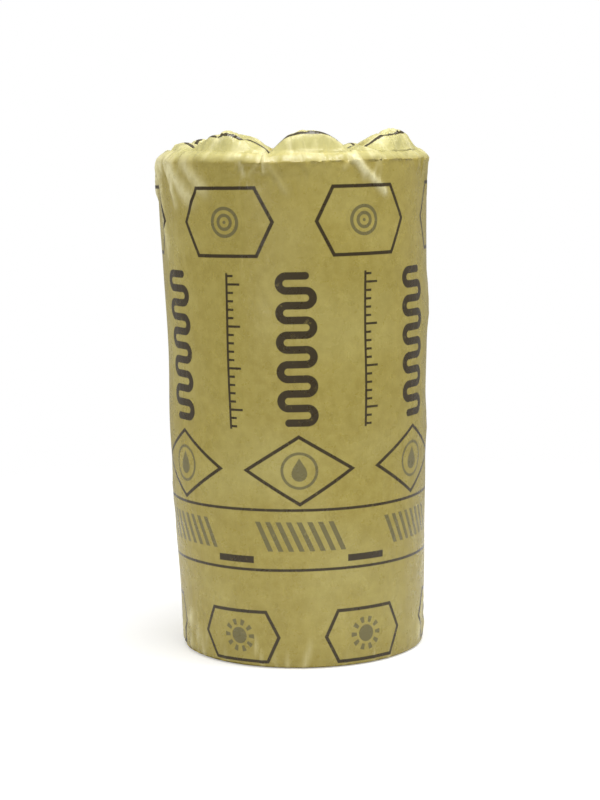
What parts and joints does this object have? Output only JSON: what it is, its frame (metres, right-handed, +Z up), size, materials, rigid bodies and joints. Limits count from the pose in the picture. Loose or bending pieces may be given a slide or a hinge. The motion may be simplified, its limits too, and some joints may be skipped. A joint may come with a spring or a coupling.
{
  "type": "insulation roll",
  "caption": "Glass-wool insulation mat rolled up in a printed film sleeve, standing on end, with the film gathered into puffed lobes over the top.",
  "frame": {"origin": "centre of the foot, on the floor", "axes": "+Z up along the axis of the roll, -Y towards the front of the print"},
  "size_m": [0.6654, 0.6658, 1.2926],
  "materials": {
    "glass_wool": "soft matte glass fibre in fluffy layers",
    "printed_film": "thin yellowish polyethylene film with dark print, softly glossy"
  },
  "bodies": {
    "root": {"wool_roll": "glass_wool", "film_sleeve": "printed_film"}
  },
  "joints": []
}
